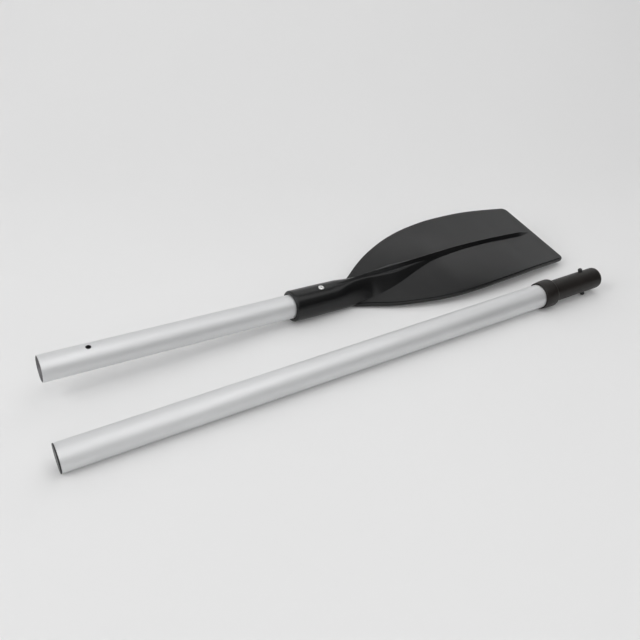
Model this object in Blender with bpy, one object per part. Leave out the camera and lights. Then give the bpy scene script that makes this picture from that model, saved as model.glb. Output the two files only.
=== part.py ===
"""Two-piece paddle: a moulded blade on an aluminium shaft, and a handle half that plugs into it.

Both halves lie side by side on a floor, unplugged. Real sizes are in millimetres in each half's
own frame and become metres where a mesh is made. Row frame: +X along the blade half's shaft
towards the blade tip, +Y across the floor towards the blade's far edge, +Z up, origin on the
floor under the middle of the object.
"""

from math import atan2, copysign, cos, hypot, pi, radians, sin

import bmesh
import bpy
from mathutils import Matrix, Vector

MM = 0.001
GAP = 0.3
ROUND_SEGMENTS = 56
HOLE_SEGMENTS = 24
SMALL_SEGMENTS = 16
CRISP_ANGLE = radians(30.0)

# Shaft tubes
TUBE_RADIUS = 16.0
TUBE_WALL = 0.9
TUBE_BORE = TUBE_RADIUS - TUBE_WALL
TUBE_EDGE = 0.25
BLADE_TUBE_VISIBLE = 321.5
HANDLE_TUBE_VISIBLE = 644.5

# Socket of the blade moulding
SOCKET_RADIUS = 21.0
SOCKET_DEPTH = 72.0
SOCKET_EDGE = 2.2
SPINE_POINTS = 36
SPINE_END = 246.0
SPINE_STEP = 9.0
RIDGE_STEP = 10.0
RIDGE_HEIGHT = 4.6
RIDGE_ROOT = 3.0

# Plate of the blade moulding
BLADE_ROOT = 78.0
BLADE_TIP = 441.0
BLADE_THICKNESS = 6.5
BLADE_CORNER = 12.0
BLADE_TOP_ROUND = 0.9
BLADE_BACK_ROUND = 2.4
SEAM_STEP = 0.9
SEAM_DEPTH = 2.6
SIDE_STATIONS = 32
CORNER_STATIONS = 5

# Rivet through the top of the socket
RIVET_DISTANCE = 44.0
RIVET_SHANK = 2.4
RIVET_HEAD = 4.0
RIVET_STEM = 1.2

# Coupling on the end of the handle tube
COLLAR_RADIUS = 19.0
COLLAR_LENGTH = 28.5
COLLAR_SWELL = 9.0
SPIGOT_RADIUS = TUBE_BORE - GAP
SPIGOT_LENGTH = 81.0
SPIGOT_BORE = 12.2
SPIGOT_NOSE = 3.0
TUBE_IN_COLLAR = 24.0

# Snap lock, measured from the shaft's mouth and from the collar's face alike
LOCK_DISTANCE = 55.0
SNAP_HOLE_RADIUS = 3.3
BUTTON_RADIUS = 3.0
BUTTON_NECK = 1.6
BUTTON_TIP = 19.6
BUTTON_DOME = 2.4
BUTTON_ROLL = radians(-20.0)

# Snap spring, in the plane of the two buttons: heights from the shaft's axis
LEAF_OUTER = 10.0
LEAF_THICKNESS = 0.7
LEAF_WIDTH = 8.0
LEAF_FLAT = 6.5
BEND_RADIUS = 4.5
BEND_DISTANCE = 40.0

# End plug
PLUG_FLANGE = 1.5
PLUG_DEPTH = 22.0
PLUG_WALL = 2.2

# Where the two halves lie, in the row frame
BLADE_HALF_AT = Vector((-51.0, 48.65, 23.12))
BLADE_HALF_PITCH = radians(3.26)
BLADE_HALF_ROLL = radians(14.2)
HANDLE_HALF_AT = Vector((-389.8, -78.15, TUBE_RADIUS))
HANDLE_HALF_YAW = radians(-1.965)
HANDLE_HALF_PITCH = -atan2(COLLAR_RADIUS - TUBE_RADIUS, HANDLE_TUBE_VISIBLE + COLLAR_SWELL)

# Shape of the blade moulding: (distance from the socket's mouth, size) in millimetres
SPINE_HALF_WIDTH = [
    (60, 21), (96, 20.8), (116, 22.3), (136, 24), (154, 23.3), (168, 21.3), (180, 18.8),
    (192, 15.6), (206, 13), (224, 10.4), (236, 7.4), (246, 3.5),
]
SPINE_ROOF = [(72, 0), (120, 1)]
SPINE_FLAT_TOP = [(96, 0.1), (133, 0.22), (165, 0.36)]
ROOF_BEND = 0.08
SPINE_CREST = [
    (60, 21), (96, 22.9), (133, 24.6), (165, 26.6), (190, 28.6), (206, 29.9), (224, 30.8),
    (236, 30.3), (246, 28.4),
]
SPINE_MIDDLE = [(50, 0), (96, -4), (133, 4), (177, 15.5), (206, 21.5), (246, 26)]
SPINE_BACK = [(36, -21), (64, -19.4), (96, -16.6), (160, -7), (246, 10.5)]
RIDGE_CREST = [
    (56, 20.8), (66, 22), (80, 24.1), (96, 26.2), (116, 28.4), (135, 30), (171, 32), (206, 34.9),
    (243, 37.8), (280, 40), (315, 40.7), (350, 40.4), (404, 38.6), (416, 36.6), (427, 34), (439, 30.8),
]
RIDGE_HALF_WIDTH = [
    (56, 1.2), (96, 1.8), (133, 2.2), (171, 2.6), (206, 3.2), (243, 4), (300, 4.6), (404, 4.8),
    (418, 4), (439, 0.8),
]
BLADE_HALF_WIDTH = [
    (78, 13), (90, 17.8), (96, 22), (114, 33), (133, 45), (158, 57.5), (206, 73), (243, 78.7),
    (280, 80.5), (320, 79.8), (392, 75), (441, 70.3),
]
BLADE_EDGE_HEIGHT = [
    (78, -9), (96, -4.5), (133, 5.5), (177, 16.2), (243, 27), (300, 33), (360, 35.2), (441, 32.4),
]
BLADE_CROWN = [(110, 0), (206, 2.6), (243, 4), (290, 3), (370, 0)]
ACROSS = [-1.0, -0.8, -0.6, -0.4, -0.2, 0.0, 0.2, 0.4, 0.6, 0.8, 1.0]


def clear_scene():
    """Take away whatever the file opened with."""
    for item in list(bpy.data.objects):
        bpy.data.objects.remove(item, do_unlink=True)


def material(name, colour, roughness, metallic):
    """A Principled material."""
    made = bpy.data.materials.new(name)
    made.use_nodes = True
    shader = made.node_tree.nodes["Principled BSDF"]
    shader.inputs["Base Color"].default_value = (*colour, 1.0)
    shader.inputs["Roughness"].default_value = roughness
    shader.inputs["Metallic"].default_value = metallic
    return made


def curve_through(points, x):
    """Height at x of the smooth curve through hand-chosen (x, height) points, never overshooting."""
    if x <= points[0][0]:
        return points[0][1]
    if x >= points[-1][0]:
        return points[-1][1]
    steps = [b[0] - a[0] for a, b in zip(points, points[1:])]
    slopes = [(b[1] - a[1]) / h for a, b, h in zip(points, points[1:], steps)]
    tangents = [slopes[0]]
    for left, right in zip(slopes, slopes[1:]):
        same_way = left * right > 0
        tangents.append(2 * left * right / (left + right) if same_way else 0.0)
    tangents.append(slopes[-1])
    k = next(i for i in range(len(steps)) if x <= points[i + 1][0])
    h = steps[k]
    t = (x - points[k][0]) / h
    rise = points[k][1] * (1 - 3 * t * t + 2 * t ** 3) + points[k + 1][1] * (3 * t * t - 2 * t ** 3)
    bend = tangents[k] * (t - 2 * t * t + t ** 3) + tangents[k + 1] * (t ** 3 - t * t)
    return rise + h * bend


def shade(mesh):
    """Smooth shading with crisp edges."""
    mesh.shade_smooth()
    mesh.set_sharp_from_angle(angle=CRISP_ANGLE)


def add_object(name, mesh, parent=None, made_of=None):
    """Link a mesh as a named object."""
    thing = bpy.data.objects.new(name, mesh)
    bpy.context.scene.collection.objects.link(thing)
    thing.parent = parent
    if made_of is not None:
        mesh.materials.append(made_of)
    shade(mesh)
    return thing


def finish_mesh(name, bm):
    """Turn a bmesh in millimetres into a mesh in metres with outward faces."""
    bmesh.ops.recalc_face_normals(bm, faces=bm.faces)
    bmesh.ops.scale(bm, vec=(MM, MM, MM), verts=bm.verts)
    mesh = bpy.data.meshes.new(name)
    bm.to_mesh(mesh)
    bm.free()
    return mesh


def radius_of(vert, axis):
    """Distance of a profile vertex from the axis it is spun about."""
    return abs(vert.co.y) if axis == "X" else abs(vert.co.x)


def turned(name, profile, segments, axis="X"):
    """Spin a closed (along, radius) profile about an axis; a radius of 0 closes on the axis."""
    bm = bmesh.new()
    verts = []
    for along, radius in profile:
        place = (along, radius, 0.0) if axis == "X" else (radius, 0.0, along)
        verts.append(bm.verts.new(place))
    edges = []
    for a, b in zip(verts, verts[1:] + verts[:1]):
        if max(radius_of(a, axis), radius_of(b, axis)) > 0:
            edges.append(bm.edges.new((a, b)))
    spin_axis = (1, 0, 0) if axis == "X" else (0, 0, 1)
    bmesh.ops.spin(
        bm, geom=verts + edges, cent=(0, 0, 0), axis=spin_axis, angle=2 * pi, steps=segments
    )
    bmesh.ops.remove_doubles(bm, verts=bm.verts, dist=0.002)
    return finish_mesh(name, bm)


def skin(bm, rings):
    """Join closed rings of vertices, each to the next."""
    for low, high in zip(rings, rings[1:]):
        for a, b, c, d in zip(low, low[1:] + low[:1], high[1:] + high[:1], high):
            bm.faces.new((a, b, c, d))


def loft(name, rings):
    """Skin closed rings of equal length and cap both ends."""
    bm = bmesh.new()
    rows = [[bm.verts.new(point) for point in ring] for ring in rings]
    skin(bm, rows)
    bm.faces.new(rows[0])
    bm.faces.new(rows[-1])
    return finish_mesh(name, bm)


def hide(cutter):
    """Mark an object as a construction aid."""
    cutter.hide_render = True
    cutter.display_type = "WIRE"
    return cutter


def pin_cutter(name, radius, start, end, frame, distance, roll=0.0):
    """A round cutter across the shaft, from one height to another, a distance along the frame."""
    profile = [(start, 0.0), (start, radius), (end, radius), (end, 0.0)]
    cutter = add_object(name, turned(name, profile, HOLE_SEGMENTS, axis="Z"), frame)
    cutter.location = Vector((distance, 0, 0)) * MM
    cutter.rotation_euler = (roll, 0, 0)
    return hide(cutter)


def combine(target, other, operation):
    """Boolean the target with another object."""
    step = target.modifiers.new(other.name, "BOOLEAN")
    step.operation = operation
    step.solver = "EXACT"
    step.object = other


def keep_result(target):
    """Make what the Booleans leave the object's own mesh, so its new edges are shaded crisp too."""
    graph = bpy.context.evaluated_depsgraph_get()
    target.data = bpy.data.meshes.new_from_object(target.evaluated_get(graph))
    target.modifiers.clear()
    shade(target.data)


def half_frame(name, at, pitch, roll, yaw=0.0):
    """An empty that carries one half: +X along its shaft, pitched down towards +X, then rolled."""
    empty = bpy.data.objects.new(name, None)
    bpy.context.scene.collection.objects.link(empty)
    turn = Matrix.Rotation(yaw, 4, "Z")
    turn = turn @ Matrix.Rotation(pitch, 4, "Y") @ Matrix.Rotation(roll, 4, "X")
    empty.matrix_world = Matrix.Translation(at * MM) @ turn
    return empty


def roof_height(share, flat):
    """Height over a roof from its middle (1) to its side (0), with a flat top and plane flanks."""
    start, here, end = (hypot(t - flat, ROOF_BEND) + t for t in (0.0, share, 1.0))
    return (end - here) / (end - start)


def spine_ring(x):
    """Cross-section of the round socket and of the roof-shaped wedge it becomes."""
    width = curve_through(SPINE_HALF_WIDTH, x)
    middle = curve_through(SPINE_MIDDLE, x)
    rise = curve_through(SPINE_CREST, x) - middle
    fall = middle - curve_through(SPINE_BACK, x)
    roof = curve_through(SPINE_ROOF, x)
    flat = curve_through(SPINE_FLAT_TOP, x)
    ring = []
    for i in range(SPINE_POINTS):
        angle = 2 * pi * i / SPINE_POINTS
        up = cos(angle)
        aside = sin(angle)
        if up > 0:
            share = min(angle, 2 * pi - angle) / (0.5 * pi)
            aside += roof * (copysign(share, aside) - aside)
            up += roof * (roof_height(share, flat) - up)
        ring.append(Vector((x, width * aside, middle + up * (rise if up > 0 else fall))))
    return ring


def spine_mesh():
    """The socket's outside and the wedge that runs from it into the plate."""
    mouth = spine_ring(0.0)
    rings = []
    for share in (0.0, 0.3, 1.0):
        shrink = 1.0 - SOCKET_EDGE * (1.0 - share) ** 2 / SOCKET_RADIUS
        rings.append([Vector((share * SOCKET_EDGE, p.y * shrink, p.z * shrink)) for p in mouth])
    x = 3 * SPINE_STEP
    while x < SPINE_END:
        rings.append(spine_ring(x))
        x += SPINE_STEP
    rings.append(spine_ring(SPINE_END))
    return loft("spine", rings)


def ridge_mesh():
    """The narrow ridge along the middle of the front face, steep on both sides."""
    start = RIDGE_CREST[0][0]
    end = RIDGE_CREST[-1][0]
    steps = round((end - start) / RIDGE_STEP)
    rings = []
    for i in range(steps + 1):
        x = start + (end - start) * i / steps
        crest = curve_through(RIDGE_CREST, x)
        half = curve_through(RIDGE_HALF_WIDTH, x)
        root = crest - RIDGE_HEIGHT - RIDGE_ROOT
        foot = half * (RIDGE_HEIGHT + RIDGE_ROOT) / RIDGE_HEIGHT
        top = 0.12 * half
        rings.append([
            Vector((x, 0.0, crest)), Vector((x, top, crest - 0.15)), Vector((x, foot, root)),
            Vector((x, -foot, root)), Vector((x, -top, crest - 0.15)),
        ])
    return loft("ridge", rings)


def blade_height(x, y):
    """Height of the plate's front face."""
    half = curve_through(BLADE_HALF_WIDTH, x)
    across = min(1.0, abs(y) / half)
    return curve_through(BLADE_EDGE_HEIGHT, x) + curve_through(BLADE_CROWN, x) * (1 - across ** 2)


def blade_outline():
    """One side of the plate's outline, from its root round the corner to the tip's straight end."""
    last = BLADE_TIP - BLADE_CORNER
    side = []
    for i in range(SIDE_STATIONS + 1):
        x = BLADE_ROOT + (last - BLADE_ROOT) * i / SIDE_STATIONS
        side.append((x, curve_through(BLADE_HALF_WIDTH, x)))
    centre_y = side[-1][1] - BLADE_CORNER
    for i in range(1, CORNER_STATIONS + 1):
        angle = 0.5 * pi * i / CORNER_STATIONS
        side.append((last + BLADE_CORNER * sin(angle), centre_y + BLADE_CORNER * cos(angle)))
    return side


def plate_layer(side, inset, drop):
    """Rows of points across the plate, moved in from the outline and down from the front face."""
    rows = []
    for i, (x, y) in enumerate(side):
        before = side[max(i - 1, 0)]
        after = side[min(i + 1, len(side) - 1)]
        run = Vector((after[0] - before[0], after[1] - before[1])).normalized()
        inward = Vector((run.y, -run.x))
        if i == len(side) - 1:
            inward = Vector((-1.0, 0.0))
        moved_x = x + inward.x * inset
        moved_y = y + inward.y * inset
        rows.append([Vector((moved_x, moved_y * f, blade_height(x, y * f) - drop)) for f in ACROSS])
    return rows


def rim(rows):
    """The points round the outside of a layer, in order."""
    left = [row[0] for row in rows]
    right = [row[-1] for row in rows]
    return left + rows[-1][1:-1] + right[::-1] + rows[0][1:-1][::-1]


def blade_plate_mesh():
    """The plate: a crowned sheet with a step at the mould's seam and a rounded lower edge."""
    side = blade_outline()
    edge = []
    for angle in (radians(45.0), radians(90.0)):
        inset = SEAM_STEP + BLADE_TOP_ROUND * (1 - sin(angle))
        edge.append((inset, BLADE_TOP_ROUND * (1 - cos(angle))))
    edge += [(SEAM_STEP, SEAM_DEPTH), (0.0, SEAM_DEPTH + 0.4)]
    for angle in (0.0, radians(30.0), radians(60.0)):
        inset = BLADE_BACK_ROUND * (1 - cos(angle))
        edge.append((inset, BLADE_THICKNESS - BLADE_BACK_ROUND * (1 - sin(angle))))
    bm = bmesh.new()
    sheets = []
    for inset, drop in ((SEAM_STEP + BLADE_TOP_ROUND, 0.0), (BLADE_BACK_ROUND, BLADE_THICKNESS)):
        sheets.append([[bm.verts.new(p) for p in row] for row in plate_layer(side, inset, drop)])
    for rows in sheets:
        for low, high in zip(rows, rows[1:]):
            for a, b, c, d in zip(low, low[1:], high[1:], high):
                bm.faces.new((a, b, c, d))
    rings = [[bm.verts.new(p) for p in rim(plate_layer(side, inset, drop))] for inset, drop in edge]
    skin(bm, [rim(sheets[0])] + rings + [rim(sheets[1])])
    return finish_mesh("blade_plate", bm)


def build_blade(frame):
    """Socket, ridge and plate as one moulding, with the shaft's bore and the rivet's hole."""
    plastic = material("blade_plastic", (0.02, 0.021, 0.022), 0.22, 0.0)
    blade = add_object("blade", spine_mesh(), frame, plastic)
    plate = hide(add_object("blade_plate_shape", blade_plate_mesh(), frame))
    combine(blade, plate, "UNION")
    ridge = hide(add_object("ridge_shape", ridge_mesh(), frame))
    combine(blade, ridge, "UNION")
    bore = TUBE_RADIUS + GAP
    end = SOCKET_DEPTH + GAP
    profile = [(-2.0, 0.0), (-2.0, bore + 2.4), (0.4, bore), (end, bore), (end, 0.0)]
    bore_mesh = turned("socket_bore", profile, ROUND_SEGMENTS)
    combine(blade, hide(add_object("socket_bore_shape", bore_mesh, frame)), "DIFFERENCE")
    hole = pin_cutter(
        "rivet_hole_shape", RIVET_SHANK + GAP, 0.5 * TUBE_RADIUS, 1.5 * SOCKET_RADIUS, frame,
        RIVET_DISTANCE,
    )
    combine(blade, hole, "DIFFERENCE")
    keep_result(blade)
    return hole


def tube_profile(start, end):
    """A thin tube's wall with its cut edges just broken."""
    outer = TUBE_RADIUS
    inner = TUBE_BORE
    return [
        (start + TUBE_EDGE, outer), (end - TUBE_EDGE, outer),
        (end, outer - TUBE_EDGE), (end, inner + TUBE_EDGE),
        (end - TUBE_EDGE, inner), (start + TUBE_EDGE, inner),
        (start, inner + TUBE_EDGE), (start, outer - TUBE_EDGE),
    ]


def build_blade_tube(frame, rivet_hole):
    """The short shaft tube: open mouth, two snap holes, and its far end riveted in the socket."""
    metal = material("blade_tube_metal", (0.80, 0.80, 0.79), 0.34, 1.0)
    profile = tube_profile(-BLADE_TUBE_VISIBLE, SOCKET_DEPTH)
    tube = add_object("blade_tube", turned("blade_tube", profile, ROUND_SEGMENTS), frame, metal)
    holes = pin_cutter(
        "snap_hole_shape", SNAP_HOLE_RADIUS, -SOCKET_RADIUS, SOCKET_RADIUS, frame,
        LOCK_DISTANCE - BLADE_TUBE_VISIBLE,
    )
    combine(tube, holes, "DIFFERENCE")
    combine(tube, rivet_hole, "DIFFERENCE")
    keep_result(tube)


def build_rivet(frame):
    """Blind rivet: a hollow headed body set from outside, and the broken stem left inside it."""
    metal = material("rivet_metal", (0.82, 0.82, 0.81), 0.3, 1.0)
    stem_metal = material("rivet_stem_metal", (0.42, 0.42, 0.42), 0.45, 1.0)
    seat = SOCKET_RADIUS + 0.15
    blind = TUBE_BORE - 0.8
    inner = RIVET_STEM + 0.15
    body = [
        (seat, RIVET_SHANK), (seat, RIVET_HEAD - 0.3), (seat + 0.35, RIVET_HEAD),
        (seat + 0.75, RIVET_HEAD - 0.5), (seat + 1.15, RIVET_HEAD - 1.5), (seat + 1.25, inner + 0.25),
        (seat + 1.0, inner), (blind - 3.2, inner), (blind - 3.2, RIVET_SHANK - 0.3),
        (blind - 2.2, RIVET_SHANK + 0.9), (blind - 1.0, RIVET_SHANK + 1.2),
        (blind, RIVET_SHANK + 0.9), (blind, RIVET_SHANK),
    ]
    rivet = add_object("rivet_body", turned("rivet_body", body, HOLE_SEGMENTS, axis="Z"), frame, metal)
    rivet.location = Vector((RIVET_DISTANCE, 0, 0)) * MM
    stem_end = blind - 3.35
    stem = [
        (seat + 0.55, 0.0), (seat + 0.45, RIVET_STEM), (stem_end, RIVET_STEM),
        (stem_end, RIVET_SHANK - 0.4), (stem_end - 1.0, RIVET_SHANK - 0.5),
        (stem_end - 1.5, 0.9), (stem_end - 1.6, 0.0),
    ]
    stem_mesh = turned("rivet_stem", stem, SMALL_SEGMENTS, axis="Z")
    mandrel = add_object("rivet_stem", stem_mesh, frame, stem_metal)
    mandrel.location = Vector((RIVET_DISTANCE, 0, 0)) * MM


def build_handle_tube(frame):
    """The long tube that the hands hold."""
    metal = material("handle_tube_metal", (0.80, 0.80, 0.79), 0.34, 1.0)
    profile = tube_profile(GAP, HANDLE_TUBE_VISIBLE + TUBE_IN_COLLAR)
    add_object("handle_tube", turned("handle_tube", profile, ROUND_SEGMENTS), frame, metal)


def build_end_plug(frame):
    """Push-in plug: a hollow body with a flange as wide as the tube and rounded at its rim."""
    plastic = material("plug_plastic", (0.045, 0.05, 0.055), 0.45, 0.0)
    body = TUBE_BORE - GAP
    inner = body - PLUG_WALL
    flat = TUBE_RADIUS - 2.0
    profile = [
        (-PLUG_FLANGE, 0.0), (-PLUG_FLANGE, flat), (-0.9 * PLUG_FLANGE, flat + 1.1),
        (-0.6 * PLUG_FLANGE, flat + 1.8), (-0.3 * PLUG_FLANGE, TUBE_RADIUS), (0.0, TUBE_RADIUS),
        (0.0, body), (PLUG_DEPTH - 1.5, body), (PLUG_DEPTH, body - 0.9), (PLUG_DEPTH, inner),
        (1.2, inner), (1.2, 0.0),
    ]
    add_object("end_plug", turned("end_plug", profile, ROUND_SEGMENTS), frame, plastic)


def build_coupling(frame):
    """Collar over the handle tube's end and a hollow spigot that enters the blade half's shaft."""
    plastic = material("coupling_plastic", (0.035, 0.031, 0.027), 0.5, 0.0)
    start = HANDLE_TUBE_VISIBLE
    face = start + COLLAR_LENGTH
    tip = face + SPIGOT_LENGTH
    seat = start + TUBE_IN_COLLAR + GAP
    inner = TUBE_RADIUS + GAP
    wide = COLLAR_RADIUS
    profile = [
        (start, inner + 0.4), (start, wide - 1.9), (start + 0.6, wide - 1.1),
        (start + 3.5, wide - 0.4), (start + COLLAR_SWELL, wide), (face - 5.0, wide),
        (face - 1.0, wide - 0.5), (face - 0.2, wide - 1.0), (face, wide - 1.5), (face, SPIGOT_RADIUS),
    ]
    lip = SPIGOT_RADIUS - 2.0
    for i in range(4):
        angle = 0.5 * pi * i / 4
        profile.append((tip - SPIGOT_NOSE * (1 - sin(angle)), lip + 2.0 * cos(angle)))
    profile += [(tip, lip), (tip, SPIGOT_BORE + 0.3), (tip - 0.3, SPIGOT_BORE)]
    profile += [(seat, SPIGOT_BORE), (seat, inner), (start + 0.4, inner)]
    coupling = add_object("coupling", turned("coupling", profile, ROUND_SEGMENTS), frame, plastic)
    lock_x = face + LOCK_DISTANCE
    holes = pin_cutter(
        "button_hole_shape", SNAP_HOLE_RADIUS, -SOCKET_RADIUS, SOCKET_RADIUS, frame, lock_x,
        BUTTON_ROLL,
    )
    combine(coupling, holes, "DIFFERENCE")
    keep_result(coupling)
    return lock_x


def spring_path():
    """Middle line of the bent strip, from the upper leg's end round the bend to the lower leg's."""
    leaf = LEAF_OUTER - 0.5 * LEAF_THICKNESS
    lean = atan2(leaf - BEND_RADIUS, BEND_DISTANCE - LEAF_FLAT)
    upper = [(LEAF_FLAT, leaf), (-LEAF_FLAT, leaf), (-LEAF_FLAT - 3.0, leaf - 0.35)]
    arc = []
    for i in range(11):
        angle = 0.5 * pi + lean + (pi - 2 * lean) * i / 10
        arc.append((-BEND_DISTANCE + BEND_RADIUS * cos(angle), BEND_RADIUS * sin(angle)))
    lower = [(x, -z) for x, z in reversed(upper)]
    return upper + arc + lower


def build_spring(frame, lock_x):
    """One bent strip of spring steel that pushes both buttons outwards."""
    steel = material("spring_steel", (0.55, 0.55, 0.54), 0.3, 1.0)
    path = [Vector((x, 0.0, z)) for x, z in spring_path()]
    half = Vector((0.0, 0.5 * LEAF_WIDTH, 0.0))
    rings = []
    for i, point in enumerate(path):
        run = (path[min(i + 1, len(path) - 1)] - path[max(i - 1, 0)]).normalized()
        out = Vector((-run.z, 0.0, run.x)) * (0.5 * LEAF_THICKNESS)
        rings.append([point + out + half, point + out - half, point - out - half, point - out + half])
    spring = add_object("snap_spring", loft("snap_spring", rings), frame, steel)
    spring.location = Vector((lock_x, 0, 0)) * MM
    spring.rotation_euler = (BUTTON_ROLL, 0, 0)
    holes = pin_cutter(
        "spring_hole_shape", BUTTON_NECK + GAP, -SOCKET_RADIUS, SOCKET_RADIUS, frame, lock_x,
        BUTTON_ROLL,
    )
    combine(spring, holes, "DIFFERENCE")
    keep_result(spring)


def build_buttons(frame, lock_x):
    """Two opposite domed pins, each riveted through its own leg of the spring."""
    metal = material("button_metal", (0.05, 0.05, 0.05), 0.3, 1.0)
    foot = LEAF_OUTER + GAP
    tail = LEAF_OUTER - LEAF_THICKNESS - GAP
    profile = [
        (tail - 0.8, 0.0), (tail - 0.8, 2.0), (tail - 0.5, 2.5), (tail, 2.5), (tail, BUTTON_NECK),
        (foot, BUTTON_NECK), (foot, 4.0), (foot + 0.3, 4.2), (foot + 0.8, 4.2),
        (foot + 0.8, BUTTON_RADIUS),
    ]
    for i in range(6):
        angle = 0.5 * pi * i / 6
        profile.append((BUTTON_TIP - BUTTON_DOME * (1 - sin(angle)), BUTTON_RADIUS * cos(angle)))
    profile.append((BUTTON_TIP, 0.0))
    mesh = turned("snap_button", profile, SMALL_SEGMENTS, axis="Z")
    for name, turn in (("snap_button_upper", BUTTON_ROLL), ("snap_button_lower", BUTTON_ROLL + pi)):
        button = add_object(name, mesh.copy(), frame, metal)
        button.location = Vector((lock_x, 0, 0)) * MM
        button.rotation_euler = (turn, 0, 0)


clear_scene()

blade_half = half_frame("blade_half", BLADE_HALF_AT, BLADE_HALF_PITCH, BLADE_HALF_ROLL)
rivet_hole_shape = build_blade(blade_half)
build_blade_tube(blade_half, rivet_hole_shape)
build_rivet(blade_half)

handle_half = half_frame("handle_half", HANDLE_HALF_AT, HANDLE_HALF_PITCH, 0.0, HANDLE_HALF_YAW)
build_handle_tube(handle_half)
build_end_plug(handle_half)
lock_at = build_coupling(handle_half)
build_spring(handle_half, lock_at)
build_buttons(handle_half, lock_at)
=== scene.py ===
"""The two-piece paddle dressed for its picture: finer surfaces, finishes, floor, light and camera.

Each half is written in millimetres in its own frame, +X along its shaft, and stands where its
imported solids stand.
"""

from math import atan2, copysign, cos, hypot, pi, radians, sin

import bmesh
import bpy
from mathutils import Matrix, Vector


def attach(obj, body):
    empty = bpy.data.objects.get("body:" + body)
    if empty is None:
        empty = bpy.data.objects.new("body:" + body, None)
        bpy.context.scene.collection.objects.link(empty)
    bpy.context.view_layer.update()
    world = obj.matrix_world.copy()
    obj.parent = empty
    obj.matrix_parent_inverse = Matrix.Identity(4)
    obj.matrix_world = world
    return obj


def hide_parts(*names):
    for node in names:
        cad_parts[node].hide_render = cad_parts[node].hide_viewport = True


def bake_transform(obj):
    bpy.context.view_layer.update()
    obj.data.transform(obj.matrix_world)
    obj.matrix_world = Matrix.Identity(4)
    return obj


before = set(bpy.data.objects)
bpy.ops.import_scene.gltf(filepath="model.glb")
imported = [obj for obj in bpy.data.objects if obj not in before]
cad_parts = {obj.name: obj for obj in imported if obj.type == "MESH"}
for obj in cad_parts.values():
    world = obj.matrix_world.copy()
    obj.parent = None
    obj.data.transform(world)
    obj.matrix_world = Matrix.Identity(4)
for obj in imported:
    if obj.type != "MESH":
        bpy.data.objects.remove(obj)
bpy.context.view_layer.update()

MM = 0.001
GAP = 0.3
FINE_ROUND = 160
FINE_PIN = 64

# The two halves in millimetres, as the solids have them
TUBE_RADIUS = 16.0
TUBE_BORE = 15.1
BLADE_TUBE_VISIBLE = 321.5
HANDLE_TUBE_VISIBLE = 644.5
SOCKET_RADIUS = 21.0
SOCKET_DEPTH = 72.0
SOCKET_EDGE = 2.2
SPINE_END = 246.0
BLADE_ROOT = 78.0
BLADE_TIP = 441.0
BLADE_THICKNESS = 6.5
RIDGE_HEIGHT = 4.6
RIDGE_ROOT = 3.0
RIVET_DISTANCE = 44.0
RIVET_SHANK = 2.4
RIVET_HEAD = 4.0
RIVET_STEM = 1.2
COLLAR_RADIUS = 19.0
COLLAR_LENGTH = 28.5
COLLAR_SWELL = 9.0
SPIGOT_RADIUS = TUBE_BORE - GAP
SPIGOT_LENGTH = 81.0
SPIGOT_BORE = 12.2
LOCK_DISTANCE = 55.0
SNAP_HOLE_RADIUS = 3.3
BUTTON_ROLL = radians(-20.0)
BUTTON_RADIUS = 3.0
BUTTON_NECK = 1.6
BUTTON_TIP = 19.6
BUTTON_DOME = 2.4
LEAF_OUTER = 10.0
LEAF_THICKNESS = 0.7
LEAF_WIDTH = 8.0
LEAF_FLAT = 6.5
BEND_DISTANCE = 40.0
BEND_RADIUS = 4.5
PLUG_DEPTH = 22.0
PLUG_WALL = 2.2

# Shapes that follow the photograph more closely than the solids do
BLADE_CORNER = 9.5
SEAM_STEP = 2.8
SEAM_DEPTH = 1.3
COLLAR_TRIM = 5.0
TUBE_IN_COLLAR = 17.0

# Finer detail, and trims that keep it inside the solids' box
EDGE_ROUND = 0.3
LOWER_ROUND = 2.4
TUBE_EDGE = 0.22
BORE_LIP = 0.9
CREST_HALF_WIDTH = 0.55
ROOT_COVER = 1.0
RIVET_SEAT = SOCKET_RADIUS + 0.15
RIVET_BLIND = TUBE_BORE - 0.8
CUT_THROUGH = 21.0
PLUG_FLANGE = 1.45
TRIM = 0.1
FACET_TRIM = 0.01

# How finely the shapes are drawn
SPINE_SIDES = 112
SPINE_STEP = 4.0
RIDGE_STEPS = 90
SIDE_STEPS = 96
ACROSS_STEPS = 14
FILLET_STEPS = 6
LEG_STEPS = 12
BEND_STEPS = 16

# Camera, floor and world: distances in metres, sensor in millimetres
CAMERA_AT = (-0.4537, -0.67025, 0.4994)
CAMERA_YAW = radians(31.994)
CAMERA_PITCH = radians(31.13)
FOCAL_PIXELS = 717.4
PICTURE_PIXELS = 640
SENSOR_WIDTH = 36.0
FLOOR_GREY = (0.8, 0.8, 0.8)
FLOOR_REACH = 30.0
FLOOR_BACK = 0.55
SWEEP_RADIUS = 1.2
WALL_TOP = 3.5
FLOOR_GLOW = 0.08
FAR_GLOW = 0.7
GLOW_START = 2.6
GLOW_END = 7.0
WORLD_LIGHT = 0.01

# The span that most of a noise texture's values lie in, and how rough it is
NOISE_LOW = 0.3
NOISE_HIGH = 0.7
NOISE_ROUGHNESS = 0.55

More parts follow.
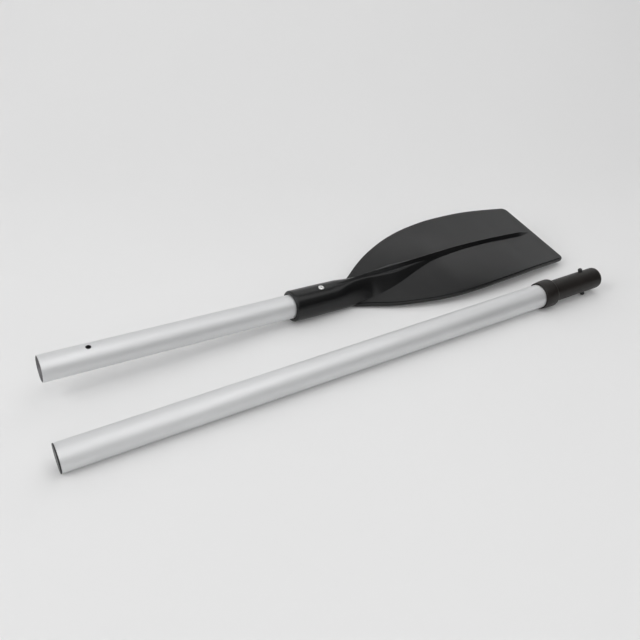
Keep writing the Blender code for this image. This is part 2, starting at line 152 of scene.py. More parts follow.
# Curves along the blade half: (distance from the socket's mouth, value)
SPINE_HALF_WIDTH = [
    (60, 21), (96, 20.8), (116, 22.3), (136, 24), (154, 23.3), (168, 21.3), (180, 18.8),
    (192, 15.6), (206, 13), (224, 10.4), (236, 7.4), (246, 3.5),
]
SPINE_ROOF = [(72, 0), (120, 1)]
SPINE_FLAT_TOP = [(96, 0.1), (133, 0.22), (165, 0.36)]
ROOF_BEND = 0.08
SPINE_CREST = [
    (60, 21), (96, 22.9), (133, 24.6), (165, 26.6), (190, 28.6), (206, 29.9), (224, 30.8),
    (236, 30.3), (246, 28.4),
]
SPINE_MIDDLE = [(50, 0), (96, -4), (133, 4), (177, 15.5), (206, 21.5), (246, 26)]
SPINE_BACK = [(36, -21), (64, -19.4), (96, -16.6), (160, -7), (246, 10.5)]
RIDGE_CREST = [
    (56, 20.8), (66, 22), (80, 24.1), (96, 26.2), (116, 28.4), (135, 30), (171, 32), (206, 34.9),
    (243, 37.8), (280, 40), (315, 40.7), (350, 40.4), (404, 38.6), (416, 36.6), (427, 34), (439, 30.8),
]
RIDGE_HALF_WIDTH = [
    (56, 1.2), (96, 1.8), (133, 2.2), (171, 2.6), (206, 3.2), (243, 4), (300, 4.6), (404, 4.8),
    (418, 4), (439, 0.8),
]
BLADE_HALF_WIDTH = [
    (78, 13), (90, 17.8), (96, 22), (114, 33), (133, 45), (158, 57.5), (206, 73), (243, 78.7),
    (280, 80.5), (320, 79.8), (392, 75), (441, 70.3),
]
BLADE_EDGE_HEIGHT = [
    (78, -9), (96, -4.5), (133, 5.5), (177, 16.2), (243, 27), (300, 33), (360, 35.2), (441, 32.4),
]
BLADE_CROWN = [(110, 0), (206, 2.6), (243, 4), (290, 3), (370, 0)]


def half_matrix(at, pitch, roll=0.0, yaw=0.0):
    """Where a half lies: moved, then turned about Z, Y and X."""
    turn = Matrix.Rotation(yaw, 4, "Z")
    turn = turn @ Matrix.Rotation(pitch, 4, "Y") @ Matrix.Rotation(roll, 4, "X")
    return Matrix.Translation(Vector(at) * MM) @ turn


BLADE_HALF = half_matrix((-51.0, 48.65, 23.12), radians(3.26), radians(14.2))
HANDLE_PITCH = -atan2(COLLAR_RADIUS - TUBE_RADIUS, HANDLE_TUBE_VISIBLE + COLLAR_SWELL)
HANDLE_HALF = half_matrix((-389.8, -78.15, TUBE_RADIUS), HANDLE_PITCH, yaw=radians(-1.965))
LOCK_X = HANDLE_TUBE_VISIBLE + COLLAR_LENGTH + LOCK_DISTANCE
LOCK = HANDLE_HALF @ Matrix.Translation((LOCK_X * MM, 0, 0)) @ Matrix.Rotation(BUTTON_ROLL, 4, "X")
RIVET = BLADE_HALF @ Matrix.Translation((RIVET_DISTANCE * MM, 0, 0))


# Materials

def seen_only(tree):
    """1 for what the camera, glossy and transmission rays see, and 0 for light on other things."""
    rays = tree.nodes.new("ShaderNodeLightPath")
    seen = rays.outputs["Is Camera Ray"]
    for ray in ("Is Glossy Ray", "Is Transmission Ray"):
        either = tree.nodes.new("ShaderNodeMath")
        either.operation = "MAXIMUM"
        tree.links.new(seen, either.inputs[0])
        tree.links.new(rays.outputs[ray], either.inputs[1])
        seen = either.outputs["Value"]
    return seen


class Finish:
    """A Principled material and the nodes that vary it."""

    def __init__(self, name, colour, roughness, metallic=0.0, specular=0.5, along=None):
        self.made = bpy.data.materials.new(name)
        self.made.use_nodes = True
        self.tree = self.made.node_tree
        self.shader = self.tree.nodes["Principled BSDF"]
        self.shader.inputs["Base Color"].default_value = (*colour, 1.0)
        self.shader.inputs["Roughness"].default_value = roughness
        self.shader.inputs["Metallic"].default_value = metallic
        self.shader.inputs["Specular IOR Level"].default_value = specular
        self.place = self.tree.nodes.new("ShaderNodeTexCoord").outputs["Object"]
        if along is not None:
            self.place = self.turned_into(along)
        self.normal = None

    def turned_into(self, half):
        """Coordinates along and across a half of the paddle."""
        mapping = self.tree.nodes.new("ShaderNodeMapping")
        mapping.vector_type = "TEXTURE"
        mapping.inputs["Location"].default_value = half.to_translation()
        mapping.inputs["Rotation"].default_value = half.to_euler()
        self.tree.links.new(self.place, mapping.inputs["Vector"])
        return mapping.outputs["Vector"]

    def noise(self, scale, detail, stretch=(1.0, 1.0, 1.0)):
        """Noise in the piece's own coordinates, finer where the stretch is larger."""
        mapping = self.tree.nodes.new("ShaderNodeMapping")
        mapping.inputs["Scale"].default_value = stretch
        self.tree.links.new(self.place, mapping.inputs["Vector"])
        texture = self.tree.nodes.new("ShaderNodeTexNoise")
        texture.inputs["Scale"].default_value = scale
        texture.inputs["Detail"].default_value = detail
        texture.inputs["Roughness"].default_value = NOISE_ROUGHNESS
        self.tree.links.new(mapping.outputs["Vector"], texture.inputs["Vector"])
        return texture.outputs["Fac"]

    def between(self, value, low, high, start=NOISE_LOW, end=NOISE_HIGH):
        """A value spread over a range."""
        spread = self.tree.nodes.new("ShaderNodeMapRange")
        spread.inputs["From Min"].default_value = start
        spread.inputs["From Max"].default_value = end
        spread.inputs["To Min"].default_value = low
        spread.inputs["To Max"].default_value = high
        self.tree.links.new(value, spread.inputs["Value"])
        return spread.outputs["Result"]

    def roughness(self, value, low, high):
        """Roughness that follows a value."""
        self.tree.links.new(self.between(value, low, high), self.shader.inputs["Roughness"])

    def tint(self, value, low, high):
        """Base colour that follows a value between two shades."""
        ramp = self.tree.nodes.new("ShaderNodeValToRGB")
        ramp.color_ramp.elements[0].position = NOISE_LOW
        ramp.color_ramp.elements[1].position = NOISE_HIGH
        ramp.color_ramp.elements[0].color = (*low, 1.0)
        ramp.color_ramp.elements[1].color = (*high, 1.0)
        self.tree.links.new(value, ramp.inputs["Fac"])
        self.tree.links.new(ramp.outputs["Color"], self.shader.inputs["Base Color"])

    def bump(self, value, strength, depth):
        """Relief that follows a value, on top of what came before; depth in metres."""
        relief = self.tree.nodes.new("ShaderNodeBump")
        relief.inputs["Strength"].default_value = strength
        relief.inputs["Distance"].default_value = depth
        self.tree.links.new(value, relief.inputs["Height"])
        if self.normal is not None:
            self.tree.links.new(self.normal, relief.inputs["Normal"])
        self.normal = relief.outputs["Normal"]
        self.tree.links.new(self.normal, self.shader.inputs["Normal"])

    def glow(self, near, far, colour):
        """A share of plain light, larger far away, that is seen and reflected and lights nothing."""
        seen = seen_only(self.tree)
        distance = self.tree.nodes.new("ShaderNodeVectorMath")
        distance.operation = "LENGTH"
        self.tree.links.new(self.place, distance.inputs[0])
        share = self.between(distance.outputs["Value"], near, far, start=GLOW_START, end=GLOW_END)
        part = self.tree.nodes.new("ShaderNodeMath")
        part.operation = "MULTIPLY"
        self.tree.links.new(seen, part.inputs[0])
        self.tree.links.new(share, part.inputs[1])
        light = self.tree.nodes.new("ShaderNodeEmission")
        light.inputs["Color"].default_value = (*colour, 1.0)
        mix = self.tree.nodes.new("ShaderNodeMixShader")
        self.tree.links.new(part.outputs["Value"], mix.inputs["Fac"])
        self.tree.links.new(self.shader.outputs["BSDF"], mix.inputs[1])
        self.tree.links.new(light.outputs["Emission"], mix.inputs[2])
        self.tree.links.new(mix.outputs["Shader"], self.tree.nodes["Material Output"].inputs["Surface"])


def anodised(name, along):
    """Satin anodised tube: drawn lines along it, a faintly cloudy sheen and a fine grain."""
    finish = Finish(name, (0.75, 0.755, 0.76), 0.58, metallic=1.0, along=along)
    clouds = finish.noise(9.0, detail=4.0, stretch=(1, 3, 3))
    finish.tint(clouds, (0.735, 0.74, 0.745), (0.765, 0.77, 0.775))
    finish.roughness(finish.noise(30.0, detail=5.0, stretch=(0.5, 3, 3)), 0.55, 0.61)
    finish.bump(finish.noise(1.0, detail=2.0, stretch=(6, 1500, 1500)), 0.12, 0.00004)
    finish.bump(finish.noise(700.0, detail=2.0), 0.08, 0.00003)
    return finish.made


def moulded_black(name, along):
    """Glossy moulded blade plastic: faint clouds, slow waves and a very fine skin."""
    finish = Finish(name, (0.0042, 0.0043, 0.0045), 0.25, specular=0.38, along=along)
    finish.tint(finish.noise(7.0, detail=3.0), (0.0035, 0.0036, 0.0038), (0.0052, 0.0053, 0.0056))
    finish.roughness(finish.noise(14.0, detail=1.0, stretch=(0.6, 1.4, 1)), 0.24, 0.27)
    finish.bump(finish.noise(28.0, detail=1.0), 0.006, 0.0004)
    finish.bump(finish.noise(1300.0, detail=2.0), 0.008, 0.00004)
    return finish.made


def grained(name, dark, light, roughness, grain=1500.0, specular=0.5):
    """Matt moulded plastic with a fine grain."""
    finish = Finish(name, dark, roughness, specular=specular)
    finish.tint(finish.noise(60.0, detail=4.0), dark, light)
    finish.roughness(finish.noise(180.0, detail=4.0), roughness - 0.05, roughness + 0.06)
    finish.bump(finish.noise(grain, detail=3.0), 0.25, 0.00012)
    return finish.made


def bright_metal(name, colour, roughness):
    """Small metal piece, pressed or rolled."""
    finish = Finish(name, colour, roughness, metallic=1.0)
    finish.tint(finish.noise(500.0, detail=4.0), tuple(0.86 * c for c in colour), colour)
    finish.roughness(finish.noise(900.0, detail=3.0), roughness - 0.06, roughness + 0.08)
    finish.bump(finish.noise(1600.0, detail=2.0), 0.12, 0.00005)
    return finish.made


blade_plastic = moulded_black("blade_plastic", BLADE_HALF)
blade_tube_metal = anodised("blade_tube_metal", BLADE_HALF)
handle_tube_metal = anodised("handle_tube_metal", HANDLE_HALF)
coupling_plastic = grained(
    "coupling_plastic", (0.0075, 0.0058, 0.0048), (0.012, 0.0095, 0.008), 0.42, specular=0.32,
)
plug_plastic = grained("plug_plastic", (0.012, 0.0125, 0.013), (0.02, 0.021, 0.022), 0.42)
button_black = grained("button_black", (0.010, 0.010, 0.010), (0.016, 0.016, 0.016), 0.3, grain=2500.0)
# Darker grey for the inside of the blade tube: painted shade in the bore
painted_shade_bore_metal = bright_metal("painted_shade_bore_metal", (0.42, 0.41, 0.42), 0.5)
rivet_metal = bright_metal("rivet_metal", (0.88, 0.88, 0.87), 0.3)
stem_metal = bright_metal("stem_metal", (0.30, 0.30, 0.30), 0.42)
spring_metal = bright_metal("spring_metal", (0.52, 0.52, 0.50), 0.28)


# Shape tools

def curve_through(points, x):
    """Height at x of the smooth curve through (x, height) points, never overshooting."""
    if x <= points[0][0]:
        return points[0][1]
    if x >= points[-1][0]:
        return points[-1][1]
    steps = [b[0] - a[0] for a, b in zip(points, points[1:])]
    slopes = [(b[1] - a[1]) / h for a, b, h in zip(points, points[1:], steps)]
    tangents = [slopes[0]]
    for left, right in zip(slopes, slopes[1:]):
        same_way = left * right > 0
        tangents.append(2 * left * right / (left + right) if same_way else 0.0)
    tangents.append(slopes[-1])
    k = next(i for i in range(len(steps)) if x <= points[i + 1][0])
    h = steps[k]
    t = (x - points[k][0]) / h
    rise = points[k][1] * (1 - 3 * t * t + 2 * t ** 3) + points[k + 1][1] * (3 * t * t - 2 * t ** 3)
    bend = tangents[k] * (t - 2 * t * t + t ** 3) + tangents[k + 1] * (t ** 3 - t * t)
    return rise + h * bend


def quarter(steps):
    """Angles from 0 to a right angle, in equal steps."""
    return [0.5 * pi * i / steps for i in range(steps + 1)]


def shade(mesh, angle=30.0):
    """Smooth shading with crisp edges."""
    mesh.shade_smooth()
    mesh.set_sharp_from_angle(angle=radians(angle))


def finish_mesh(name, bm):
    """Turn a bmesh in millimetres into a mesh in metres with outward faces."""
    bmesh.ops.recalc_face_normals(bm, faces=bm.faces)
    bmesh.ops.scale(bm, vec=(MM, MM, MM), verts=bm.verts)
    mesh = bpy.data.meshes.new(name)
    bm.to_mesh(mesh)
    bm.free()
    return mesh


def skin(bm, rings):
    """Join closed rings of vertices, each to the next."""
    for low, high in zip(rings, rings[1:]):
        for a, b, c, d in zip(low, low[1:] + low[:1], high[1:] + high[:1], high):
            bm.faces.new((a, b, c, d))


def loft(name, rings):
    """Skin closed rings of equal length and cap both ends."""
    bm = bmesh.new()
    rows = [[bm.verts.new(point) for point in ring] for ring in rings]
    skin(bm, rows)
    bm.faces.new(rows[0])
    bm.faces.new(rows[-1])
    return finish_mesh(name, bm)


def turned(name, profile, segments, axis="X"):
    """Turn a closed (along, radius) profile; its first and last points may lie on the axis."""
    solid = profile[0][1] == 0 and profile[-1][1] == 0
    bm = bmesh.new()
    rows = []
    for along, radius in profile:
        if radius == 0:
            rows.append([bm.verts.new((along, 0, 0) if axis == "X" else (0, 0, along))])
            continue
        row = []
        for i in range(segments):
            angle = 2 * pi * i / segments
            y = radius * cos(angle)
            z = radius * sin(angle)
            row.append(bm.verts.new((along, y, z) if axis == "X" else (y, z, along)))
        rows.append(row)
    pairs = list(zip(rows, rows[1:]))
    if not solid:
        pairs.append((rows[-1], rows[0]))
    for low, high in pairs:
        for i in range(segments):
            k = (i + 1) % segments
            if len(low) == 1:
                bm.faces.new((low[0], high[i], high[k]))
            elif len(high) == 1:
                bm.faces.new((low[i], low[k], high[0]))
            else:
                bm.faces.new((low[i], low[k], high[k], high[i]))
    return finish_mesh(name, bm)


def rounded(corners):
    """A closed profile from (along, radius, fillet) corners, with a small arc at each fillet."""
    out = []
    count = len(corners)
    for i, (along, radius, fillet) in enumerate(corners):
        here = Vector((along, radius))
        if fillet <= 0:
            out.append((along, radius))
            continue
        before = (Vector(corners[i - 1][:2]) - here).normalized()
        after = (Vector(corners[(i + 1) % count][:2]) - here).normalized()
        start = here + before * fillet
        end = here + after * fillet
        for j in range(FILLET_STEPS + 1):
            t = j / FILLET_STEPS
            point = start * (1 - t) ** 2 + here * (2 * t * (1 - t)) + end * t * t
            out.append((point.x, point.y))
    return out


def make(name, mesh, where, made_of, body, *stands_for):
    """A visible piece in its place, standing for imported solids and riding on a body, if one is named."""
    mesh.transform(where)
    piece = bpy.data.objects.new(name, mesh)
    bpy.context.scene.collection.objects.link(piece)
    mesh.materials.clear()
    mesh.materials.append(made_of)
    if body is not None:
        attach(piece, body)
    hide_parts(*stands_for)
    return piece


def carve(name, base, steps):
    """The mesh that is left after exact Booleans of (operation, mesh) on a base mesh."""
    target = bpy.data.objects.new(name, base)
    bpy.context.scene.collection.objects.link(target)
    tools = []
    for operation, mesh in steps:
        tool = bpy.data.objects.new(name + "_tool", mesh)
        bpy.context.scene.collection.objects.link(tool)
        step = target.modifiers.new(operation, "BOOLEAN")
        step.operation = operation
        step.solver = "EXACT"
        step.object = tool
        tools.append(tool)
    graph = bpy.context.evaluated_depsgraph_get()
    result = bpy.data.meshes.new_from_object(target.evaluated_get(graph))
    for tool in tools + [target]:
        bpy.data.objects.remove(tool)
    return result


def pin(radius, start, end, x, roll=0.0):
    """A round cutter across the shaft at x, between two heights."""
    mesh = turned("pin", [(start, 0), (start, radius), (end, radius), (end, 0)], FINE_PIN, axis="Z")
    mesh.transform(Matrix.Translation((x * MM, 0, 0)) @ Matrix.Rotation(roll, 4, "X"))
    return mesh


def rivet_cutter():
    """The rivet's hole through the upper wall of socket and tube."""
    return pin(RIVET_SHANK + GAP, 8.0, 30.0, RIVET_DISTANCE)


# Blade moulding

def roof_height(share, flat):
    """Height over a roof from its middle (1) to its side (0), with a flat top and plane flanks."""
    start, here, end = (hypot(t - flat, ROOF_BEND) + t for t in (0.0, share, 1.0))
    return (end - here) / (end - start)


def spine_ring(x):
    """Cross-section of the round socket and of the roof-shaped wedge it becomes."""
    width = curve_through(SPINE_HALF_WIDTH, x)
    middle = curve_through(SPINE_MIDDLE, x)
    rise = curve_through(SPINE_CREST, x) - middle
    fall = middle - curve_through(SPINE_BACK, x) - TRIM
    roof = curve_through(SPINE_ROOF, x)
    flat = curve_through(SPINE_FLAT_TOP, x)
    ring = []
    for i in range(SPINE_SIDES):
        angle = 2 * pi * i / SPINE_SIDES
        up = cos(angle)
        aside = sin(angle)
        if up > 0:
            share = min(angle, 2 * pi - angle) / (0.5 * pi)
            aside += roof * (copysign(share, aside) - aside)
            up += roof * (roof_height(share, flat) - up)
        ring.append(Vector((x, width * aside, middle + up * (rise if up > 0 else fall))))
    return ring


def spine_mesh():
    """Socket and wedge, with a rolled lip at the mouth."""
    mouth = spine_ring(0.0)
    rings = []
    for angle in quarter(6):
        back = SOCKET_EDGE * (1 - cos(angle))
        shrink = 1.0 - SOCKET_EDGE * (1 - sin(angle)) / SOCKET_RADIUS
        rings.append([Vector((back, p.y * shrink, p.z * shrink)) for p in mouth])
    x = 6.0
    while x < SPINE_END:
        rings.append(spine_ring(x))
        x += SPINE_STEP
    rings.append(spine_ring(SPINE_END))
    return loft("spine", rings)


def ridge_mesh():
    """The ridge along the front, with a narrow rounded crest; its root stays inside the plate."""
    start = RIDGE_CREST[0][0]
    end = RIDGE_CREST[-1][0]
    rings = []
    for i in range(RIDGE_STEPS + 1):
        x = start + (end - start) * i / RIDGE_STEPS
        crest = curve_through(RIDGE_CREST, x)
        half = curve_through(RIDGE_HALF_WIDTH, x)
        slope = RIDGE_HEIGHT / half
        plate_back = blade_height(x, 0.0) - BLADE_THICKNESS
        root = max(crest - RIDGE_HEIGHT - RIDGE_ROOT, plate_back + ROOT_COVER)
        foot = (crest - root) / slope
        top = min(CREST_HALF_WIDTH, 0.3 * foot)
        side = [(foot, root), (0.5 * (foot + top), crest - slope * 0.5 * (foot + top))]
        for f in (1.0, 0.66, 0.33):
            y = top * f
            side.append((y, crest - slope * (top * 0.5 + y * y / (2 * top)) + slope * top * 0.25))
        side.append((0.0, crest - slope * top * 0.25))
        ring = [Vector((x, y, z)) for y, z in side]
        ring += [Vector((x, -y, z)) for y, z in side[-2::-1]]
        rings.append(ring)
    return loft("ridge", rings)


def blade_height(x, y):
    """Height of the plate's front face."""
    half = curve_through(BLADE_HALF_WIDTH, x)
    across = min(1.0, abs(y) / half)
    return curve_through(BLADE_EDGE_HEIGHT, x) + curve_through(BLADE_CROWN, x) * (1 - across ** 2)


def blade_outline():
    """One side of the plate's outline, from its root round the corner to the tip's end."""
    last = BLADE_TIP - 2 * TRIM - BLADE_CORNER
    side = []
    for i in range(SIDE_STEPS + 1):
        x = BLADE_ROOT + (last - BLADE_ROOT) * i / SIDE_STEPS
        side.append((x, curve_through(BLADE_HALF_WIDTH, x) - TRIM))
    centre_y = side[-1][1] - BLADE_CORNER
    for angle in quarter(14)[1:]:
        side.append((last + BLADE_CORNER * sin(angle), centre_y + BLADE_CORNER * cos(angle)))
    return side


def plate_layer(side, inset, drop, across):
    """Rows of points across the plate, moved in from the outline and down from the front face."""
    rows = []
    for i, (x, y) in enumerate(side):
        before = side[max(i - 1, 0)]
        after = side[min(i + 1, len(side) - 1)]
        run = Vector((after[0] - before[0], after[1] - before[1])).normalized()
        inward = Vector((run.y, -run.x))
        if i == len(side) - 1:
            inward = Vector((-1.0, 0.0))
        moved_x = x + inward.x * inset
        moved_y = y + inward.y * inset
        rows.append([Vector((moved_x, moved_y * f, blade_height(x, y * f) - drop)) for f in across])
    return rows


def rim(rows):
    """The points round the outside of a layer, in order."""
    left = [row[0] for row in rows]
    right = [row[-1] for row in rows]
    return left + rows[-1][1:-1] + right[::-1] + rows[0][1:-1][::-1]


def plate_mesh():
    """The plate: rounded top edge, a step at the mould's seam and a rounded lower edge."""
    side = blade_outline()
    across = [i / ACROSS_STEPS for i in range(-ACROSS_STEPS, ACROSS_STEPS + 1)]
    edge = []
    for angle in quarter(5)[1:]:
        edge.append((SEAM_STEP + EDGE_ROUND * (1 - sin(angle)), EDGE_ROUND * (1 - cos(angle))))
    edge += [
        (SEAM_STEP, SEAM_DEPTH - 0.2), (SEAM_STEP - 0.1, SEAM_DEPTH - 0.05),
        (SEAM_STEP - 0.3, SEAM_DEPTH), (0.6, SEAM_DEPTH + 0.1), (0.2, SEAM_DEPTH + 0.2),
        (0.0, SEAM_DEPTH + 0.6),
    ]
    for angle in quarter(7)[:-1]:
        drop = BLADE_THICKNESS - LOWER_ROUND * (1 - sin(angle))
        edge.append((LOWER_ROUND * (1 - cos(angle)), drop))
    bm = bmesh.new()
    sheets = []
    for inset, drop in ((SEAM_STEP + EDGE_ROUND, 0.0), (LOWER_ROUND, BLADE_THICKNESS)):
        rows = plate_layer(side, inset, drop, across)
        sheets.append([[bm.verts.new(p) for p in row] for row in rows])
    for rows in sheets:
        for low, high in zip(rows, rows[1:]):
            for a, b, c, d in zip(low, low[1:], high[1:], high):
                bm.faces.new((a, b, c, d))
    rings = []
    for inset, drop in edge:
        rings.append([bm.verts.new(p) for p in rim(plate_layer(side, inset, drop, across))])
    skin(bm, [rim(sheets[0])] + rings + [rim(sheets[1])])
    return finish_mesh("plate", bm)


def blade_mesh():
    """The whole moulding: wedge, plate and ridge joined, bored for the tube and the rivet."""
    bore = TUBE_RADIUS + GAP
    depth = SOCKET_DEPTH + GAP
    profile = [(-2.0, 0.0), (-2.0, bore + 3.0)]
    for angle in quarter(5):
        profile.append((BORE_LIP * sin(angle) - 0.05, bore + BORE_LIP * (1 - sin(angle)) ** 2))
    profile += [(depth, bore), (depth, 0.0)]
    return carve("blade", spine_mesh(), [
        ("UNION", plate_mesh()),
        ("UNION", ridge_mesh()),
        ("DIFFERENCE", turned("bore", profile, FINE_ROUND)),
        ("DIFFERENCE", rivet_cutter()),
    ])


blade = make("blade_moulding", blade_mesh(), BLADE_HALF, blade_plastic, "blade_half", "blade")
shade(blade.data, angle=28.0)


# Shaft tubes

def tube_corners(start, end):
    """A tube's wall as corners with small fillets where it was cut."""
    return [
        (start, TUBE_RADIUS - FACET_TRIM, TUBE_EDGE), (end, TUBE_RADIUS - FACET_TRIM, TUBE_EDGE),
        (end, TUBE_BORE, TUBE_EDGE), (start, TUBE_BORE, TUBE_EDGE),
    ]


def long_profile(corners, step=40.0):
    """A rounded profile with extra points along its long runs, so that faces stay short."""
    base = rounded(corners)
    out = []
    for a, b in zip(base, base[1:] + base[:1]):
        out.append(a)
        run = abs(b[0] - a[0])
        for i in range(1, int(run / step) + 1):
            t = i / (int(run / step) + 1)
            out.append((a[0] + (b[0] - a[0]) * t, a[1] + (b[1] - a[1]) * t))
    return out


def snap_hole_cutter(x):
    """A snap hole right through, eased where it breaks the outside."""
    lip = TUBE_RADIUS - 0.35
    far = TUBE_RADIUS + 3.0
    wide = SNAP_HOLE_RADIUS + 0.3
    profile = [
        (-far, 0.0), (-far, wide), (-lip, SNAP_HOLE_RADIUS),
        (lip, SNAP_HOLE_RADIUS), (far, wide), (far, 0.0),
    ]
    mesh = turned("snap_hole", profile, FINE_PIN, axis="Z")
    mesh.transform(Matrix.Translation((x * MM, 0, 0)))
    return mesh


blade_tube_profile = long_profile(tube_corners(-BLADE_TUBE_VISIBLE, SOCKET_DEPTH))
blade_tube_mesh = carve("blade_tube", turned("blade_tube", blade_tube_profile, FINE_ROUND), [
    ("DIFFERENCE", snap_hole_cutter(LOCK_DISTANCE - BLADE_TUBE_VISIBLE)),
    ("DIFFERENCE", rivet_cutter()),
])
blade_tube = make(
    "blade_shaft_tube", blade_tube_mesh, BLADE_HALF, blade_tube_metal, "blade_half", "blade_tube",
)
shade(blade_tube.data)
# Faces inside the bore take the darker metal: painted shade inside the tube's open end
blade_tube.data.materials.append(painted_shade_bore_metal)
to_half = BLADE_HALF.inverted()
for face in blade_tube.data.polygons:
    middle = to_half @ face.center
    if hypot(middle.y, middle.z) < (TUBE_BORE + 0.1) * MM:
        face.material_index = 1
handle_tube_profile = long_profile(tube_corners(GAP, HANDLE_TUBE_VISIBLE + TUBE_IN_COLLAR))
handle_tube = make(
    "handle_shaft_tube", turned("handle_tube", handle_tube_profile, FINE_ROUND), HANDLE_HALF,
    handle_tube_metal, "handle_half", "handle_tube",
)
shade(handle_tube.data)


# Rivet, plug and coupling

def rivet_body():
    """Domed flange, hollow shank and the bulb that the stem pulled up inside the tube."""
    seat = RIVET_SEAT
    blind = RIVET_BLIND
    corners = [
        (seat, RIVET_SHANK, 0.0), (seat, RIVET_HEAD - 0.05, 0.12), (seat + 0.35, RIVET_HEAD, 0.1),
        (seat + 0.95, 3.0, 0.5), (seat + 1.25, 1.75, 0.15), (seat + 0.85, 1.35, 0.1),
        (blind - 3.2, 1.35, 0.0), (blind - 3.2, RIVET_SHANK - 0.3, 0.3),
        (blind - 2.2, RIVET_SHANK + 0.9, 0.3),
        (blind - 0.6, RIVET_SHANK + 1.2, 0.4), (blind, RIVET_SHANK + 0.7, 0.2), (blind, RIVET_SHANK, 0.0),
    ]
    return turned("rivet_body", rounded(corners), FINE_PIN, axis="Z")


def rivet_stem():
    """The broken stem: ragged top, and its head below the bulb."""
    seat = RIVET_SEAT
    end = RIVET_BLIND - 3.35
    corners = [
        (seat + 0.55, 0.0, 0.0), (seat + 0.62, 0.7, 0.1), (seat + 0.42, RIVET_STEM, 0.08),
        (end, RIVET_STEM, 0.0), (end, 2.0, 0.15), (end - 1.0, 1.9, 0.4), (end - 1.6, 0.9, 0.2),
        (end - 1.6, 0.0, 0.0),
    ]
    return turned("rivet_stem", rounded(corners), FINE_PIN, axis="Z")


def plug_mesh():
    """The end plug: slightly domed disc, rounded rim and a hollow body in the tube."""
    body = TUBE_BORE - GAP
    corners = [
        (-PLUG_FLANGE, 0.0, 0.0), (-PLUG_FLANGE, 12.0, 3.0), (-1.2, TUBE_RADIUS, 0.5),
        (0.0, TUBE_RADIUS, 0.12), (0.0, body, 0.1), (PLUG_DEPTH, body, 1.2),
        (PLUG_DEPTH, body - PLUG_WALL, 0.3), (1.2, body - PLUG_WALL, 0.4), (1.2, 0.0, 0.0),
    ]
    return turned("plug", rounded(corners), FINE_ROUND)


def coupling_mesh():
    """Collar with a rolled lip and a rounded shoulder, and the hollow spigot with its button holes."""
    start = HANDLE_TUBE_VISIBLE
    face = start + COLLAR_LENGTH - COLLAR_TRIM
    tip = start + COLLAR_LENGTH + SPIGOT_LENGTH
    seat = start + TUBE_IN_COLLAR + GAP
    inner = TUBE_RADIUS + GAP
    corners = [
        (start, inner, 0.3), (start, COLLAR_RADIUS - 1.6, 0.5), (start + 1.2, COLLAR_RADIUS - 0.9, 0.5),
        (start + COLLAR_SWELL, COLLAR_RADIUS, 3.0), (face - 1.8, COLLAR_RADIUS, 2.4),
        (face, SPIGOT_RADIUS, 0.8), (tip - 3.0, SPIGOT_RADIUS, 1.4), (tip - 0.6, SPIGOT_RADIUS - 0.9, 0.9),
        (tip, SPIGOT_RADIUS - 2.0, 0.3), (tip, SPIGOT_BORE, 0.25), (seat, SPIGOT_BORE, 0.3),
        (seat, inner, 0.2),
    ]
    body = turned("coupling", long_profile(corners, step=12.0), FINE_ROUND)
    button_holes = pin(SNAP_HOLE_RADIUS, -CUT_THROUGH, CUT_THROUGH, LOCK_X, BUTTON_ROLL)
    return carve("coupling", body, [("DIFFERENCE", button_holes)])


rivet = make("rivet_flange", rivet_body(), RIVET, rivet_metal, "blade_half", "rivet_body")
stem = make("rivet_core", rivet_stem(), RIVET, stem_metal, "blade_half", "rivet_stem")
plug = make("butt_plug", plug_mesh(), HANDLE_HALF, plug_plastic, "handle_half", "end_plug")
coupling = make("shaft_coupling", coupling_mesh(), HANDLE_HALF, coupling_plastic, "handle_half", "coupling")
for piece in (rivet, stem, plug, coupling):
    shade(piece.data)


# Snap lock

def leaf_mesh():
    """Half of the bent spring strip, from its leg's end under a button to the middle of the bend."""
    height = LEAF_OUTER - 0.5 * LEAF_THICKNESS
    lean = atan2(height - BEND_RADIUS, BEND_DISTANCE - LEAF_FLAT)
    path = [(LEAF_FLAT, height), (-LEAF_FLAT, height)]
    bend = []
    for i in range(BEND_STEPS + 1):
        angle = 0.5 * pi + lean + (0.5 * pi - lean) * i / BEND_STEPS
        bend.append((BEND_RADIUS * cos(angle) - BEND_DISTANCE, BEND_RADIUS * sin(angle)))
    foot = (-LEAF_FLAT - 3.0, height - 0.35)
    for i in range(LEG_STEPS):
        share = i / LEG_STEPS
        path.append((foot[0] + (bend[0][0] - foot[0]) * share, foot[1] + (bend[0][1] - foot[1]) * share))
    path = [Vector((x, 0.0, z)) for x, z in path + bend]
    half = 0.5 * LEAF_THICKNESS
    wide = 0.5 * LEAF_WIDTH
    side = [(wide, half - 0.15), (wide - 0.25, half), (0.25 - wide, half), (-wide, half - 0.15)]
    section = side + [(y, -z) for y, z in reversed(side)]
    rings = []
    for i, point in enumerate(path):
        run = (path[min(i + 1, len(path) - 1)] - path[max(i - 1, 0)]).normalized()
        if i == len(path) - 1:
            run = Vector((0.0, 0.0, -1.0))
        out = Vector((-run.z, 0.0, run.x))
        rings.append([point + out * z + Vector((0.0, y, 0.0)) for y, z in section])
    strip = loft("spring_leaf", rings)
    return carve("spring_leaf", strip, [("DIFFERENCE", pin(BUTTON_NECK + GAP, 0.0, CUT_THROUGH, 0.0))])


def button_mesh():
    """A domed pin with its foot ring, and the riveted tail under the spring."""
    foot = LEAF_OUTER + GAP
    tail = LEAF_OUTER - LEAF_THICKNESS - GAP
    dome = BUTTON_TIP - BUTTON_DOME
    corners = [
        (tail - 0.8, 0.0, 0.0), (tail - 0.8, 2.3, 0.3), (tail, 2.5, 0.1), (tail, BUTTON_NECK, 0.0),
        (foot, BUTTON_NECK, 0.0), (foot, 4.2, 0.15), (foot + 0.8, 4.2, 0.25),
        (foot + 0.8, BUTTON_RADIUS, 0.1),
    ]
    profile = rounded(corners)
    for angle in quarter(12)[:-1]:
        profile.append((dome + BUTTON_DOME * sin(angle), BUTTON_RADIUS * cos(angle)))
    profile.append((BUTTON_TIP, 0.0))
    return turned("snap_button", profile, FINE_PIN, axis="Z")
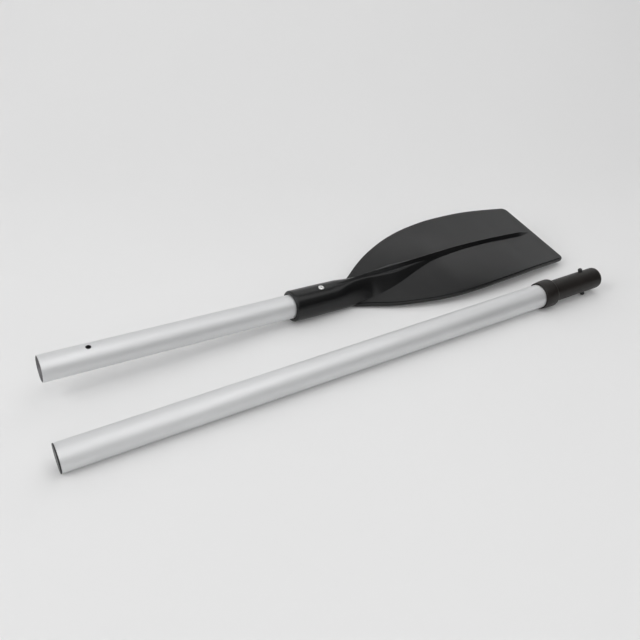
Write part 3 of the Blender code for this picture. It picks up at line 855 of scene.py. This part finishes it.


# Each leaf stands still at the lock, its place baked into its mesh; each button rides on its own body
for side, turn in (("upper", 0.0), ("lower", pi)):
    where = LOCK @ Matrix.Rotation(turn, 4, "X")
    leaf = make(f"{side}_spring_leaf", leaf_mesh(), where, spring_metal, None, "snap_spring")
    shade(leaf.data)
    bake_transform(leaf)
    button = make(
        f"{side}_snap_pin", button_mesh(), where, button_black, f"{side}_button", f"snap_button_{side}",
    )
    shade(button.data)


# Floor, light and camera

def sweep():
    """A pale floor that curves up behind the object into a wall."""
    profile = [(-FLOOR_REACH, 0.0), (FLOOR_BACK, 0.0)]
    for angle in quarter(16)[1:]:
        profile.append((FLOOR_BACK + SWEEP_RADIUS * sin(angle), SWEEP_RADIUS * (1 - cos(angle))))
    profile.append((FLOOR_BACK + SWEEP_RADIUS, WALL_TOP))
    bm = bmesh.new()
    rows = [[bm.verts.new((x, along, up)) for along, up in profile] for x in (-FLOOR_REACH, FLOOR_REACH)]
    for a, b, c, d in zip(rows[0], rows[0][1:], rows[1][1:], rows[1]):
        bm.faces.new((a, d, c, b))
    mesh = bpy.data.meshes.new("floor")
    bm.to_mesh(mesh)
    bm.free()
    mesh.shade_smooth()
    floor = bpy.data.objects.new("floor", mesh)
    bpy.context.scene.collection.objects.link(floor)
    floor.matrix_world = Matrix.Rotation(-CAMERA_YAW, 4, "Z")
    finish = Finish("floor_paint", FLOOR_GREY, 0.65, specular=0.2)
    finish.tint(finish.noise(2.0, detail=2.0), (0.795, 0.795, 0.795), (0.805, 0.805, 0.805))
    finish.glow(FLOOR_GLOW, FAR_GLOW, FLOOR_GREY)
    mesh.materials.append(finish.made)


sweep()

camera_data = bpy.data.cameras.new("camera")
camera_data.sensor_width = SENSOR_WIDTH
camera_data.lens = SENSOR_WIDTH * FOCAL_PIXELS / PICTURE_PIXELS
camera_data.clip_start = 0.01
camera = bpy.data.objects.new("camera", camera_data)
bpy.context.scene.collection.objects.link(camera)
level = cos(CAMERA_PITCH)
sight = Vector((sin(CAMERA_YAW) * level, cos(CAMERA_YAW) * level, -sin(CAMERA_PITCH)))
camera.matrix_world = Matrix.Translation(CAMERA_AT) @ sight.to_track_quat("-Z", "Y").to_matrix().to_4x4()
bpy.context.scene.camera = camera

world = bpy.data.worlds.new("studio")
world.use_nodes = True
background = world.node_tree.nodes["Background"]
background.inputs["Color"].default_value = (1.0, 1.0, 1.0, 1.0)
background.inputs["Strength"].default_value = WORLD_LIGHT
bpy.context.scene.world = world


def softbox(name, where, size, watts):
    """A square lamp that faces the object."""
    data = bpy.data.lights.new(name, "AREA")
    data.shape = "RECTANGLE"
    data.size = size
    data.size_y = size
    data.energy = watts
    lamp = bpy.data.objects.new(name, data)
    bpy.context.scene.collection.objects.link(lamp)
    turn = (-where).to_track_quat("-Z", "Y").to_matrix().to_4x4()
    lamp.matrix_world = Matrix.Translation(where) @ turn


# Height and heading in degrees as seen from the object, distance in metres, watts.
# The watts were first fitted to the photograph's brightness, lamp by lamp, and then changed.
SOFTBOXES = [
    (35, 30, 2.4, 3.4), (35, 120, 2.4, 2.9), (35, 150, 2.4, 4.8), (35, 180, 4.0, 63.0),
    (35, 262, 3.2, 25.0), (35, 300, 2.4, 1.0), (50, 225, 2.4, 2.6), (62, 45, 2.4, 3.5),
    (62, 90, 2.4, 1.6), (62, 180, 2.4, 3.2), (62, 270, 2.4, 3.2), (64, 315, 2.4, 10.6),
    (90, 0, 2.4, 4.0),
]
for height, heading, distance, watts in SOFTBOXES:
    rise = radians(height)
    turn = radians(heading)
    where = Vector((cos(rise) * cos(turn), cos(rise) * sin(turn), sin(rise))) * distance
    softbox(f"softbox_{height}_{heading}", where, distance * 2 / 3, watts)
bpy.context.scene.view_settings.view_transform = "Standard"
